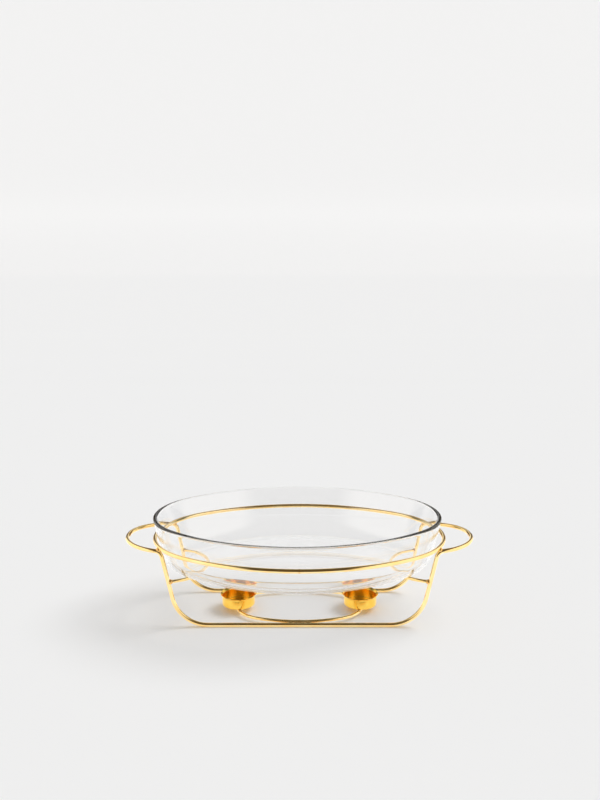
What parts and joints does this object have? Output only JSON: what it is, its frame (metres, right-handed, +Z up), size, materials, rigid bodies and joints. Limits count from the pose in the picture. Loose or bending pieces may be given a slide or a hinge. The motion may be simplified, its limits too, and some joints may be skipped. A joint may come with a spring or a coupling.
{
  "type": "chafing dish food warmer",
  "caption": "Oval glass baking dish that lifts off a welded gold wire stand with loop handles and seats for tealights beneath.",
  "frame": {"origin": "on the table, in the middle of the stand's footprint", "axes": "+X towards the right handle, +Y towards the rear, +Z up"},
  "size_m": [0.4352, 0.2562, 0.1264],
  "materials": {
    "frame_wire": "polished brass plating on steel wire",
    "light_wire": "polished brass plating on steel wire",
    "candle_cup": "polished brass plating on pressed sheet",
    "weld": "brass plating over weld beads, slightly dull",
    "dish_glass": "clear pressed borosilicate glass, polished"
  },
  "bodies": {
    "stand": {"front_leg_frame": "frame_wire", "rear_leg_frame": "frame_wire", "dish_ring": "frame_wire", "left_dish_rest": "light_wire", "right_dish_rest": "light_wire", "burner_ring": "light_wire", "left_candle_cup": "candle_cup", "right_candle_cup": "candle_cup", "ring_welds": "weld", "rest_welds": "weld", "handle_seams": "weld", "dish_ring_seam": "weld", "burner_ring_seam": "weld", "burner_ring_welds": "weld", "cup_welds": "weld"},
    "dish": {"glass_dish": "dish_glass"}
  },
  "joints": [
    {"name": "dish_lift", "type": "slide", "parent": "stand", "child": "dish", "axis": [0, 0, 1], "range_m": [0, 0.12]}
  ]
}
